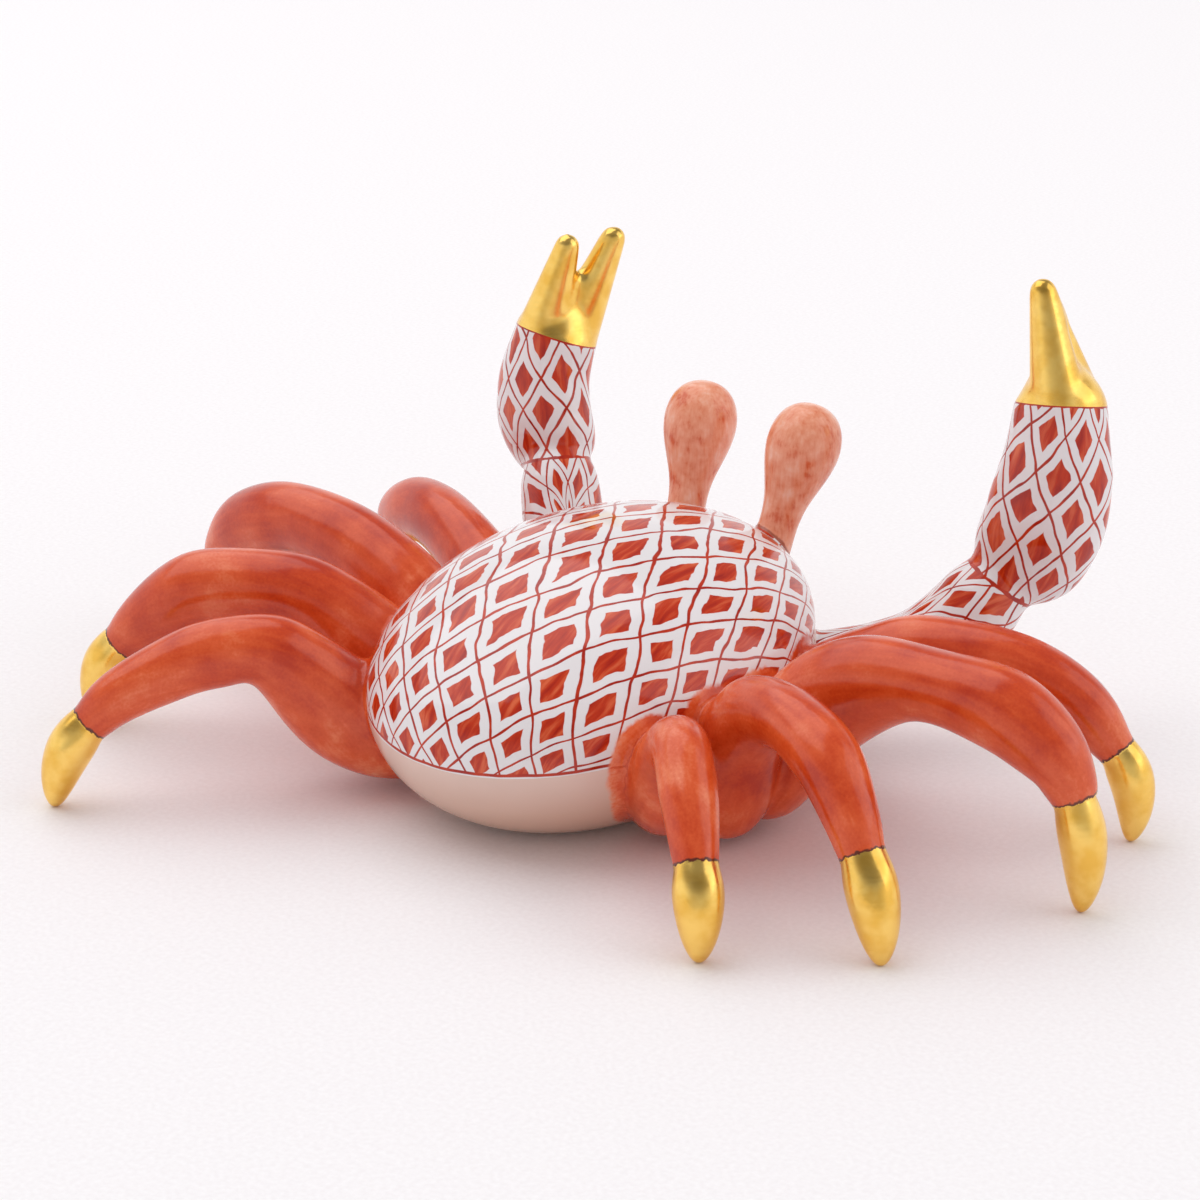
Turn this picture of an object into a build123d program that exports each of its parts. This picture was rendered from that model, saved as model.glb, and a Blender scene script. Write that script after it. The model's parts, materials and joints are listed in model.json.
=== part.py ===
from build123d import *
import math
import os

# Porcelain crab figurine, standing on the flat foot of its belly and on eight leg tips.
# Millimetres, +Z up. The crab faces -Y and its own left is +X. The origin is the middle
# of the foot, on the table. Every piece is slip cast or pressed by itself and luted on,
# so each is a solid that ends face to face on the piece that carries it.

# Body: a hollow cast dome on a hollow cast bowl, which meet in a plane at the painted rim
body_half_width = 20.4
body_half_length = 25.9
dome_rise = 12.0
bowl_depth = 14.6
rim_height = 13.0
body_pitch_angle = 7.0
wall = 2.4
foot_wall = 2.6
vent_bore = 3.0
vent_setback = 6.0

# Eyes: a ball on a short stalk, set back from the body's front end and up from its rim, and
# leaning forward and a little outward
eye_ball_diameter = 7.7
eye_stalk_diameter = 4.3
eye_out = 5.4
eye_setback = 2.9
eye_foot_lift = 4.0
eye_rise = 12.0
eye_lean_out = 1.1
eye_lean_front = 5.2
eye_neck_height_share = 0.45
eye_neck_width_share = 1.04

# Arms: a forearm from inside the body's front corner to the elbow clear of it, a palm that
# stands up from the elbow, and a pincer of two fingers
shoulder_inset = 11.4
shoulder_setback = 12.9
shoulder_drop = 4.0
elbow_clearance_out = 7.6
elbow_clearance_front = 5.8
forearm_girth = 8.7
elbow_lift = 1.5
heel_past_elbow_out = 0.2
heel_past_elbow_front = 2.0
wrist_past_elbow_out = 3.5
wrist_past_elbow_front = 4.6
left_wrist_height = 31.6
right_wrist_height = 35.6
left_palm_length = 14.5
right_palm_length = 19.8
palm_girth = 12.0
palm_breadth = 9.8
palm_bulge_out = 2.2
palm_bulge_back = 0.8
finger_girth = 4.2
finger_spread_in = 2.4
finger_spread_front = 5.2
finger_gap = 4.0
rear_finger_hook = 0.2
front_finger_hook = 0.6
left_finger_rise = 11.6
right_finger_rise = 12.8
rear_finger_lean_in = 2.0
rear_finger_lean_back = 0.7
front_finger_lean_in = 4.4
front_finger_lean_forward = 4.2
left_front_finger_rise = 12.0
right_front_finger_rise = 10.4

# Legs: where each toe stands, how high its middle line arches and how thick its shin is
left_front_toe_out = 48.0
left_front_toe_back = -27.0
left_front_rise = 13.9
left_front_girth = 7.2

left_second_toe_out = 56.0
left_second_toe_back = -6.0
left_second_rise = 17.2
left_second_girth = 7.5

left_third_toe_out = 49.2
left_third_toe_back = 20.2
left_third_rise = 17.0
left_third_girth = 7.5

left_rear_toe_out = 38.3
left_rear_toe_back = 37.8
left_rear_rise = 16.0
left_rear_girth = 6.6

right_front_toe_out = 51.3
right_front_toe_back = -17.5
right_front_rise = 17.0
right_front_girth = 6.8

right_second_toe_out = 54.7
right_second_toe_back = -1.3
right_second_rise = 19.0
right_second_girth = 7.4

right_third_toe_out = 45.4
right_third_toe_back = 18.6
right_third_rise = 17.5
right_third_girth = 6.6

right_rear_toe_out = 31.8
right_rear_toe_back = 27.6
right_rear_rise = 15.5
right_rear_girth = 5.6

# Each leg's root, inside the body, in shares of the body's half width and half length
root_shares = {
    "left_front": (0.59, -0.31),
    "left_second": (0.64, -0.04),
    "left_third": (0.63, 0.10),
    "left_rear": (0.55, 0.44),
    "right_front": (-0.54, -0.27),
    "right_second": (-0.59, 0.04),
    "right_third": (-0.49, 0.04),
    "right_rear": (-0.56, 0.22),
}

# Each leg from its root to its gilding line: the share of the way to the toe, the share
# of its rise, and its thickness in the leg's own plane and across it, in shares of its girth
leg_shares = {
    "left_front": [
        (0.00, 0.45, 1.60, 1.50),
        (0.15, 0.50, 1.50, 1.45),
        (0.33, 0.74, 1.25, 1.20),
        (0.45, 0.87, 1.08, 1.05),
        (0.57, 0.95, 1.00, 1.00),
        (0.68, 0.97, 0.98, 1.00),
        (0.80, 0.92, 1.00, 1.00),
        (0.90, 0.80, 0.90, 0.90),
        (0.97, 0.62, 0.62, 0.65),
    ],
    "left_second": [
        (0.00, 0.37, 1.52, 1.45),
        (0.15, 0.45, 1.50, 1.40),
        (0.33, 0.76, 1.34, 1.20),
        (0.44, 0.89, 1.18, 1.10),
        (0.55, 0.97, 1.07, 1.04),
        (0.66, 0.98, 1.02, 1.00),
        (0.76, 0.94, 1.05, 1.05),
        (0.86, 0.84, 0.98, 0.98),
        (0.93, 0.70, 0.78, 0.80),
        (0.97, 0.55, 0.58, 0.60),
    ],
    "left_third": [
        (0.00, 0.38, 1.60, 1.40),
        (0.15, 0.45, 1.50, 1.35),
        (0.31, 0.73, 1.22, 1.15),
        (0.41, 0.90, 1.10, 1.08),
        (0.51, 0.98, 1.00, 1.00),
        (0.60, 0.97, 1.00, 1.00),
        (0.69, 0.95, 1.06, 1.05),
        (0.77, 0.85, 1.02, 1.02),
        (0.86, 0.70, 0.80, 0.83),
        (0.93, 0.54, 0.56, 0.58),
    ],
    "left_rear": [
        (0.00, 0.40, 1.70, 1.50),
        (0.14, 0.43, 1.68, 1.50),
        (0.26, 0.58, 1.72, 1.40),
        (0.36, 0.80, 1.45, 1.25),
        (0.47, 0.98, 1.05, 1.05),
        (0.60, 0.94, 1.02, 1.00),
        (0.72, 0.83, 0.92, 0.92),
        (0.83, 0.69, 0.79, 0.80),
        (0.90, 0.54, 0.62, 0.65),
    ],
    "right_front": [
        (0.00, 0.40, 1.70, 1.50),
        (0.15, 0.44, 1.75, 1.50),
        (0.30, 0.70, 1.45, 1.30),
        (0.40, 0.88, 1.15, 1.10),
        (0.50, 0.99, 1.00, 1.00),
        (0.60, 0.99, 1.00, 1.00),
        (0.70, 0.96, 1.01, 1.00),
        (0.80, 0.88, 0.95, 0.95),
        (0.88, 0.76, 0.84, 0.85),
        (0.96, 0.54, 0.56, 0.57),
    ],
    "right_second": [
        (0.00, 0.38, 1.65, 1.50),
        (0.20, 0.40, 1.75, 1.50),
        (0.32, 0.66, 1.60, 1.35),
        (0.42, 0.86, 1.40, 1.20),
        (0.53, 0.97, 1.15, 1.10),
        (0.62, 1.00, 0.92, 1.00),
        (0.70, 0.99, 0.98, 1.00),
        (0.79, 0.96, 1.08, 1.05),
        (0.88, 0.86, 0.98, 1.00),
        (0.94, 0.73, 0.78, 0.82),
        (0.97, 0.58, 0.53, 0.55),
    ],
    "right_third": [
        (0.00, 0.36, 1.80, 1.50),
        (0.14, 0.43, 1.95, 1.55),
        (0.28, 0.43, 2.00, 1.50),
        (0.37, 0.72, 1.52, 1.25),
        (0.46, 0.94, 1.07, 1.02),
        (0.58, 1.00, 0.92, 0.95),
        (0.73, 0.94, 0.98, 0.98),
        (0.83, 0.76, 0.83, 0.86),
        (0.91, 0.53, 0.63, 0.66),
    ],
    "right_rear": [
        (0.00, 0.42, 1.80, 1.40),
        (0.18, 0.43, 1.85, 1.45),
        (0.34, 0.56, 1.70, 1.40),
        (0.48, 0.86, 1.30, 1.20),
        (0.61, 1.00, 1.00, 0.98),
        (0.75, 0.87, 0.96, 0.98),
        (0.86, 0.69, 0.83, 0.86),
        (0.93, 0.54, 0.70, 0.74),
    ],
}

# Each gilded tip from the gilding line to the toe: the share of its length, and its
# thickness as a share of the leg's at the line
tip_shares = [(0.00, 1.00), (0.16, 1.10), (0.36, 1.14), (0.58, 1.02), (0.77, 0.80), (0.90, 0.54), (0.97, 0.30)]
tip_lead_share = 0.45

# Sections along a limb's loft, and how much closer they stand near its two ends
section_count = 17
end_crowding_share = 0.6

# Where neighbouring limbs part, as a share of the way from a limb's root to its end
hip_share = 0.22

# How far the thick sections near the hip stay upright instead of square to the leg
hip_upright_share = 2.0

# Forearm from the shoulder to the elbow: the share of the way, the share of its climb, and
# its girth as a share of the named one
forearm_shares = [
    (0.00, 0.00, 0.76),
    (0.28, 0.00, 0.82),
    (0.50, 0.03, 0.88),
    (0.70, 0.17, 0.94),
    (0.84, 0.42, 1.04),
    (0.95, 0.82, 1.00),
    (1.00, 1.10, 0.74),
]

# Palm from its heel to the wrist: the share of the way, the share of its bulge, and its
# girth and breadth as shares of the named ones
palm_shares = [
    (0.00, 0.00, 0.50, 0.55),
    (0.08, 0.20, 0.80, 0.80),
    (0.22, 0.58, 0.99, 0.95),
    (0.42, 0.94, 1.03, 1.02),
    (0.64, 0.82, 0.97, 0.99),
    (0.84, 0.40, 0.85, 0.96),
    (1.00, 0.00, 0.78, 0.94),
]

# Pincer: a knuckle that narrows above the gilding line, with a finger on each side of it
knuckle_shares = [(0.00, 0.78, 0.94), (0.12, 0.66, 0.90), (0.26, 0.46, 0.72), (0.36, 0.32, 0.45)]
finger_shares = [(0.10, 0.86), (0.28, 0.98), (0.52, 0.85), (0.76, 0.68), (0.90, 0.48), (0.97, 0.29)]


def between(start, end, share):
    return start + (end - start) * share


def flat_direction(vector):
    """The level direction of a vector, one long."""
    return Vector(vector.X, vector.Y, 0).normalized()


def tangents(points):
    """The direction of a smooth path at each of its points."""
    last = len(points) - 1
    return [(points[min(i + 1, last)] - points[max(i - 1, 0)]).normalized() for i in range(last + 1)]


def eased(places, values, place):
    """The value at a place, on a smooth curve through a table that never swings past its rows."""
    slopes = [(b - a) / (q - p) for a, b, p, q in zip(values, values[1:], places, places[1:])]
    bends = [slopes[0]]
    for before, after in zip(slopes, slopes[1:]):
        bends.append(2 * before * after / (before + after) if before * after > 0 else 0)
    bends.append(slopes[-1])
    row = max(i for i in range(len(slopes)) if i == 0 or place >= places[i])
    step = places[row + 1] - places[row]
    share = (place - places[row]) / step
    rest = 1 - share
    kept = values[row] * (1 + 2 * share) * rest**2 + values[row + 1] * (1 + 2 * rest) * share**2
    return kept + step * share * rest * (bends[row] * rest - bends[row + 1] * share)


def finer(rows):
    """A table's rows at many steps of its first column, closer at both ends to steady the loft."""
    places, *columns = zip(*rows)
    steps = []
    for index in range(section_count):
        turn = 2 * math.pi * index / (section_count - 1)
        steps.append(between(places[0], places[-1], (turn - end_crowding_share * math.sin(turn)) / (2 * math.pi)))
    return [(place, *[eased(places, column, place) for column in columns]) for place in steps]


def sections(points, thicknesses, breadths, across, directions=None):
    """Ellipses square to a path: thickness in the path's own plane, breadth along across."""
    faces = []
    for point, along, thickness, breadth in zip(points, directions or tangents(points), thicknesses, breadths):
        plane = Plane(origin=point, x_dir=across, z_dir=along)
        faces.append(plane * Ellipse(breadth / 2, thickness / 2))
    return faces


def ellipsoid(half_width, half_length, half_height):
    return scale(Sphere(1), by=(half_width, half_length, half_height))


def place_body(shape):
    """Pitches the body so that its front rim is raised, and lifts it to its height."""
    return Pos(0, 0, rim_height) * Rot(X=-body_pitch_angle) * shape


def dome(inset):
    whole = ellipsoid(body_half_width - inset, body_half_length - inset, dome_rise - inset)
    return split(whole, bisect_by=Plane.XY, keep=Keep.TOP)


def bowl(inset, depth):
    whole = ellipsoid(body_half_width - inset, body_half_length - inset, depth)
    return split(whole, bisect_by=Plane.XY, keep=Keep.BOTTOM)


def above_table(shape):
    """What stands on the table: cut off flat at its surface."""
    reach = 2 * (left_second_toe_out + body_half_length)
    return shape & (Pos(0, 0, reach / 2) * Box(2 * reach, 2 * reach, reach))


def carapace():
    return place_body(dome(0) - dome(wall))


def belly():
    shell = place_body(bowl(0, bowl_depth) - bowl(wall, rim_height - foot_wall))
    vent = Pos(0, vent_setback, 0) * Cylinder(vent_bore / 2, 2 * rim_height)
    return above_table(shell) - vent


def body_mass():
    """The body as one closed form, which every limb ends on."""
    return above_table(place_body(dome(0) + bowl(0, bowl_depth)))


def eye(side):
    """A ball on a stalk, turned about the stalk's own line."""
    foot = Vector(side * eye_out, eye_setback - body_half_length, rim_height + eye_foot_lift)
    ball = foot + Vector(side * eye_lean_out, -eye_lean_front, eye_rise)
    length = (ball - foot).length
    stalk = eye_stalk_diameter / 2
    radius = eye_ball_diameter / 2
    neck = (stalk * eye_neck_width_share, length * eye_neck_height_share)
    line = Spline([(stalk, 0), neck, (radius, length), (0, length + radius)], tangents=[(0, 1), (-1, 0)])
    profile = make_face(line + Polyline((0, length + radius), (0, 0), (stalk, 0)))
    upright = Plane(origin=foot, z_dir=ball - foot)
    return upright * revolve(Plane.XZ * profile, Axis.Z)


def leg_line(name):
    """Where a leg's line starts inside the body and where it ends, both at the table."""
    across, along = root_shares[name]
    toe_out, toe_back = legs[name][:2]
    side = 1 if name.startswith("left") else -1
    return Vector(across * body_half_width, along * body_half_length, 0), Vector(side * toe_out, toe_back, 0)


def leg(name):
    """A painted leg and its gilded tip, which share the section at the gilding line."""
    root, toe = leg_line(name)
    rise, girth = legs[name][2:]
    heading = flat_direction(toe - root)
    across = heading.cross(Vector(0, 0, 1))
    rows = finer(leg_shares[name])
    points = []
    for along, height, _, _ in rows:
        points.append(between(root, toe, along) + Vector(0, 0, rise * height))
    directions = []
    for tangent, row in zip(tangents(points), rows):
        upright = hip_upright_share * max(row[2] - 1, 0)
        directions.append((tangent + heading * upright).normalized())
    thicknesses = [girth * thickness for _, _, thickness, _ in rows]
    breadths = [girth * breadth for _, _, _, breadth in rows]
    faces = sections(points, thicknesses, breadths, across, directions)
    end = points[-1]
    lead = end + directions[-1] * (toe - end).length * tip_lead_share
    tip_points = [between(between(end, lead, share), between(lead, toe, share), share) for share, _ in tip_shares]
    tip_thicknesses = [thicknesses[-1] * share for _, share in tip_shares]
    tip_breadths = [breadths[-1] * share for _, share in tip_shares]
    tip_faces = sections(tip_points, tip_thicknesses, tip_breadths, across)
    return loft(faces), loft([faces[-1], *tip_faces[1:], Vertex(*toe)])


legs = {
    "right_rear": (right_rear_toe_out, right_rear_toe_back, right_rear_rise, right_rear_girth),
    "right_third": (right_third_toe_out, right_third_toe_back, right_third_rise, right_third_girth),
    "right_second": (right_second_toe_out, right_second_toe_back, right_second_rise, right_second_girth),
    "right_front": (right_front_toe_out, right_front_toe_back, right_front_rise, right_front_girth),
    "left_rear": (left_rear_toe_out, left_rear_toe_back, left_rear_rise, left_rear_girth),
    "left_third": (left_third_toe_out, left_third_toe_back, left_third_rise, left_third_girth),
    "left_second": (left_second_toe_out, left_second_toe_back, left_second_rise, left_second_girth),
    "left_front": (left_front_toe_out, left_front_toe_back, left_front_rise, left_front_girth),
}


arms = {
    "left": (left_wrist_height, left_palm_length, left_finger_rise, left_front_finger_rise),
    "right": (right_wrist_height, right_palm_length, right_finger_rise, right_front_finger_rise),
}


def arm_places():
    """The left shoulder, inside the body, and the left elbow, level with it and clear of the body."""
    height = rim_height - shoulder_drop
    shoulder = Vector(body_half_width - shoulder_inset, shoulder_setback - body_half_length, height)
    elbow = Vector(body_half_width + elbow_clearance_out, -body_half_length - elbow_clearance_front, height)
    return shoulder, elbow


def forearm(wrist_height, palm_length):
    """The left forearm: level out of the body's front corner, then up to the elbow."""
    shoulder, elbow = arm_places()
    climb = Vector(0, 0, wrist_height - palm_length - shoulder.Z + elbow_lift)
    rows = finer(forearm_shares)
    points = [between(shoulder, elbow, share) + climb * lift for share, lift, _ in rows]
    girths = [forearm_girth * girth for _, _, girth in rows]
    across = flat_direction(elbow - shoulder).cross(Vector(0, 0, 1))
    return loft(sections(points, girths, girths, across))


def palm_line(wrist_height, palm_length):
    """The middle line of the left palm, from its heel at the elbow up to the wrist."""
    elbow = arm_places()[1]
    wrist = Vector(elbow.X + wrist_past_elbow_out, elbow.Y - wrist_past_elbow_front, wrist_height)
    heel = Vector(elbow.X + heel_past_elbow_out, elbow.Y - heel_past_elbow_front, wrist_height - palm_length)
    bulge = Vector(palm_bulge_out, palm_bulge_back, 0)
    return [between(heel, wrist, share) + bulge * out for share, out, _, _ in finer(palm_shares)]


def finger_spread():
    """The level direction in which the front finger of the left pincer stands off the rear one."""
    return flat_direction(Vector(-finger_spread_in, -finger_spread_front, 0))


def palm_sections(wrist_height, palm_length):
    rows = finer(palm_shares)
    girths = [palm_girth * girth for _, _, girth, _ in rows]
    breadths = [palm_breadth * breadth for _, _, _, breadth in rows]
    return sections(palm_line(wrist_height, palm_length), girths, breadths, finger_spread())


def palm(wrist_height, palm_length):
    return loft(palm_sections(wrist_height, palm_length))


def finger(start, end, hook):
    """A tapering finger whose middle hooks a little to one side."""
    points = [between(start, end, share) + hook * math.sin(math.pi * share) for share, _ in finger_shares]
    girths = [finger_girth * girth for _, girth in finger_shares]
    return loft([*sections(points, girths, girths, finger_spread()), Vertex(*end)])


def pincer(wrist_height, palm_length, rear_rise, front_rise):
    """The left pincer, all of it gilded: a knuckle on the wrist and two fingers in a V."""
    wrist = palm_line(wrist_height, palm_length)[-1]
    spread = finger_spread()
    rear_end = wrist + Vector(-rear_finger_lean_in, rear_finger_lean_back, rear_rise)
    front_end = wrist + Vector(-front_finger_lean_in, -front_finger_lean_forward, front_rise)
    top = between(rear_end, front_end, 1 / 2)
    points = [between(wrist, top, share) for share, _, _ in knuckle_shares]
    girths = [palm_girth * girth for _, girth, _ in knuckle_shares]
    breadths = [palm_breadth * breadth for _, _, breadth in knuckle_shares]
    seat = palm_sections(wrist_height, palm_length)[-1]
    knuckle = loft([seat, *sections(points, girths, breadths, spread)[1:]])
    rear = finger(wrist - spread * finger_gap / 2, rear_end, spread * rear_finger_hook)
    front = finger(wrist + spread * finger_gap / 2, front_end, spread * front_finger_hook)
    return knuckle + rear + front


def on_side(shape, side):
    """The left piece as it is, or its mirror image for the right side."""
    return shape if side > 0 else mirror(shape, about=Plane.YZ)


def hip_plane(first, second):
    """The upright plane between two neighbouring limbs, each given by its hip and its end."""
    middle = between(first[0], second[0], 1 / 2)
    outward = flat_direction(first[1] - first[0]) + flat_direction(second[1] - second[0])
    return Plane(origin=middle, x_dir=outward, z_dir=outward.cross(Vector(0, 0, 1)))


def keep_near(shape, plane, point):
    """The part of a shape that lies on the same side of a plane as a point."""
    front = plane.to_local_coords(point).Z > 0
    return split(shape, bisect_by=plane, keep=Keep.TOP if front else Keep.BOTTOM)


def limb_lines(side_name, side):
    """Each limb of one side, front to rear, with its hip and its end seen from above."""
    shoulder, elbow = [Vector(side * place.X, place.Y, 0) for place in arm_places()]
    lines = {"forearm": (between(shoulder, elbow, hip_share), elbow)}
    for place in ("front", "second", "third", "rear"):
        root, toe = leg_line(f"{side_name}_{place}")
        lines[place] = (between(root, toe, hip_share), toe)
    return lines


def fitted(limb, place, lines):
    """A limb that ends on the body, and on the upright planes between it and its neighbours."""
    places = list(lines)
    index = places.index(place)
    for neighbour in places[max(index - 1, 0):index] + places[index + 1:index + 2]:
        limb = keep_near(limb, hip_plane(lines[place], lines[neighbour]), lines[place][1])
    return limb - body_mass()


def write(name, shape):
    export_step(shape, f"parts/{name}.step")


def write_legs(side_name, lines):
    for place in ("front", "second", "third", "rear"):
        name = f"{side_name}_{place}"
        limb, tip = leg(name)
        write("leg_" + name, fitted(limb, place, lines))
        write("tip_" + name, tip)


def write_arm(side_name, side, lines, wrist_height, palm_length, rear_rise, front_rise):
    """An arm is drawn on the left and turned into its mirror image for the right side."""
    lower = fitted(on_side(forearm(wrist_height, palm_length), side), "forearm", lines)
    write("forearm_" + side_name, lower)
    write("palm_" + side_name, on_side(palm(wrist_height, palm_length), side) - lower)
    write("pincer_" + side_name, on_side(pincer(wrist_height, palm_length, rear_rise, front_rise), side))


os.makedirs("parts", exist_ok=True)
write("carapace", carapace())
write("belly", belly())
for side_name, side in (("left", 1), ("right", -1)):
    lines = limb_lines(side_name, side)
    write("eye_" + side_name, eye(side) - body_mass())
    write_legs(side_name, lines)
    write_arm(side_name, side, lines, *arms[side_name])
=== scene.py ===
import json
import math

import bpy
from mathutils import Matrix, Vector
from mathutils.bvhtree import BVHTree
from mathutils.kdtree import KDTree

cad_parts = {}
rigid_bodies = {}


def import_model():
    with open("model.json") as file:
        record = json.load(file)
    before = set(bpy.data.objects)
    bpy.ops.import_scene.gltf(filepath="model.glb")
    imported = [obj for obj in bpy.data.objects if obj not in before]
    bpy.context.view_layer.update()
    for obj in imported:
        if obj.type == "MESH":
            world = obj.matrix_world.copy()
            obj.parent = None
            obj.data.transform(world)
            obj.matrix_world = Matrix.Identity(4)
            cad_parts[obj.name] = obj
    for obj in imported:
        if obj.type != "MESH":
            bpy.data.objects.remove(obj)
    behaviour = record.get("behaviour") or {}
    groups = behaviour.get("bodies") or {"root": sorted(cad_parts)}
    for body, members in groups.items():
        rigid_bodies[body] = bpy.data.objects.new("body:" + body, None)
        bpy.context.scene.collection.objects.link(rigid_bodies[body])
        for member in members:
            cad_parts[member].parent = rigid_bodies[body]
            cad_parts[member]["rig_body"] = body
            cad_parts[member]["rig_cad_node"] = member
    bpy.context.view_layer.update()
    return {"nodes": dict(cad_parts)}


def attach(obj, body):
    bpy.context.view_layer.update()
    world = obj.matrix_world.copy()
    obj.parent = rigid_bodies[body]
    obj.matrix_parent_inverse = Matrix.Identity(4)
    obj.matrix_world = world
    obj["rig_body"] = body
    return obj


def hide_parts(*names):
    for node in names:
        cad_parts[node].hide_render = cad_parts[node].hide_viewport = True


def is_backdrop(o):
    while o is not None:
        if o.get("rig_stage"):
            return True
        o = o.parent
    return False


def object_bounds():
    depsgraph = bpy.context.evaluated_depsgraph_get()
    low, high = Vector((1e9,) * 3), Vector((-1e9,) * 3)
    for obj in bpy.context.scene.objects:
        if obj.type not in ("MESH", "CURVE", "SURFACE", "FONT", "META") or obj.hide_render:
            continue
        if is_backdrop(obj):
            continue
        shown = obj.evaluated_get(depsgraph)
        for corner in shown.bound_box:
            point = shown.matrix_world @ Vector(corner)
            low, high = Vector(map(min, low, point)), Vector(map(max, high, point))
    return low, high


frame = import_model()
cad = frame["nodes"]

# The crab in leather-hard clay: a cast hollow body, with pressed legs, arms and eye stalks luted
# on with slip. One lump of all of it is made first, and each piece is then cut back out of it.
# Places are in mm, in a frame in which the crab looks along -Y and its left is +X.
mm = 0.001
sides = {"left": 1, "right": -1}
doubled_gap = 0.001 * mm


def take(*things):
    """Selects these objects and no other."""
    bpy.ops.object.select_all(action="DESELECT")
    for thing in things:
        thing.select_set(True)
    bpy.context.view_layer.objects.active = things[0]


def clay_copy(name, *sources):
    """One new object out of copies of these."""
    take(*sources)
    bpy.ops.object.duplicate()
    bpy.context.view_layer.objects.active = bpy.context.selected_objects[0]
    if len(sources) > 1:
        bpy.ops.object.join()
    piece = bpy.context.object
    piece.name = piece.data.name = name
    piece.parent = None
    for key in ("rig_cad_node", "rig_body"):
        if key in piece:
            del piece[key]
    piece.data.materials.clear()
    return piece


def stitch(piece):
    """Merges the doubled points of loose triangles."""
    take(piece)
    bpy.ops.object.mode_set(mode="EDIT")
    bpy.ops.mesh.select_all(action="SELECT")
    bpy.ops.mesh.remove_doubles(threshold=doubled_gap)
    bpy.ops.object.mode_set(mode="OBJECT")


def shape(piece, kind, **settings):
    """Adds one modifier with these settings and applies it."""
    take(piece)
    modifier = piece.modifiers.new(kind.title(), kind)
    for name, value in settings.items():
        setattr(modifier, name, value)
    bpy.ops.object.modifier_apply(modifier=modifier.name)


def mark(piece, name, values):
    """Writes one value into each point of a piece, for its glaze to read."""
    piece.data.attributes.new(name, "FLOAT", "POINT").data.foreach_set("value", values)


def stand(thing, place, way):
    """Moves a new shape to a place and turns its own upward axis along a way."""
    turn = way.to_track_quat("Z", "Y").to_matrix().to_4x4()
    thing.data.transform(Matrix.Translation(place) @ turn)


# Fingers of the pincers: two tapered rolls of clay stand on each wrist, and shorter ones
# between them web the gap. They are luted on like the rest and rounded off by the sponge.
# The places of their feet and ends are as seen from the wrist.
wrists = {"left": (31.5, -36.3, 31.6), "right": (-31.5, -36.3, 35.6)}
finger_feet = {
    "left": ((0.84, 1.82, 0), (-0.84, -1.82, 0)),
    "right": ((-0.84, 1.82, 0), (-0.1, -2.0, 0)),
}
finger_ends = {
    "left": ((-2.3, 0.5, 11.7), (-5.2, -4.4, 12.0)),
    "right": ((2.4, 1.0, 12.8), (4.1, -3.2, 9.4)),
}
finger_share = 0.9
finger_radii = (3.0, 1.4)
web_reach = {"left": 0.5, "right": 0.6}
web_shares = (0.4, 0.6, 0.8)
web_radii = (3.2, 1.3)
roll_sides = 40
ball_sides = 32
ball_rings = 16


def roll_of_clay(start, end, radii):
    """A tapering roll between two places in mm, rounded at its end."""
    start, end = start * mm, end * mm
    start_radius, end_radius = [radius * mm for radius in radii]
    bpy.ops.object.select_all(action="DESELECT")
    bpy.ops.mesh.primitive_cone_add(vertices=roll_sides, radius1=start_radius, radius2=end_radius,
                                    depth=(end - start).length)
    roll = bpy.context.object
    stand(roll, (start + end) / 2, end - start)
    bpy.ops.mesh.primitive_uv_sphere_add(segments=ball_sides, ring_count=ball_rings, radius=end_radius)
    ball = bpy.context.object
    ball.data.transform(Matrix.Translation(end))
    take(roll, ball)
    bpy.ops.object.join()
    return roll


rolls = []
for side in sides:
    wrist = Vector(wrists[side])
    feet = [wrist + Vector(foot) for foot in finger_feet[side]]
    ends = [wrist + Vector(end) for end in finger_ends[side]]
    for foot, end in zip(feet, ends):
        rolls.append(roll_of_clay(foot, foot.lerp(end, finger_share), finger_radii))
    near, far = [foot.lerp(end, web_reach[side]) for foot, end in zip(feet, ends)]
    for share in web_shares:
        rolls.append(roll_of_clay(wrist, near.lerp(far, share), web_radii))

# Joints: every seam is sponged into a soft hollow before the firing, most of all close to the
# body. The feet of the eye stalks, the arms and the undersides of the hips are rubbed less, so
# that they keep their girth. Each zone goes out to the side, from front to rear, and up.
clay_grain = 0.3 * mm
rub_strength = 0.5
sponge_rubs = 8
seam_rubs = 44
relief_rubs = 90
seam_reach = 9 * mm
seam_core = 3 * mm
beyond = 1000
seam_zones = {
    "stalk feet": ((-1, beyond), (-29, -19), (15, beyond), 0.1),
    "arms": ((15, beyond), (-beyond, -29), (12, beyond), 0.3),
    "elbows": ((23, 34), (-beyond, -27), (12, 22), 0.9),
}
low_hip_height = 6 * mm
low_hip_weight = 0.3

clay = clay_copy("clay", *cad.values(), *rolls)
for roll in rolls:
    bpy.data.objects.remove(roll)
stitch(clay)
shape(clay, "REMESH", mode="VOXEL", voxel_size=clay_grain)
body_form = clay_copy("body_form", cad["carapace"], cad["belly"])
stitch(body_form)
seams = clay.vertex_groups.new(name="seams")
seams.add(range(len(clay.data.vertices)), 1.0, "REPLACE")
shape(clay, "VERTEX_WEIGHT_PROXIMITY", vertex_group="seams", target=body_form,
      proximity_mode="GEOMETRY", proximity_geometry={"FACE"}, min_dist=seam_reach, max_dist=seam_core)
mark(clay, "near_body", [vertex.groups[0].weight for vertex in clay.data.vertices])
for (inner, outer), (front, rear), (low, high), weight in seam_zones.values():
    zone = [vertex.index for vertex in clay.data.vertices
            if inner * mm < abs(vertex.co.x) < outer * mm
            and front * mm < vertex.co.y < rear * mm
            and low * mm < vertex.co.z < high * mm]
    clay.vertex_groups["seams"].add(zone, weight, "REPLACE")
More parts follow.
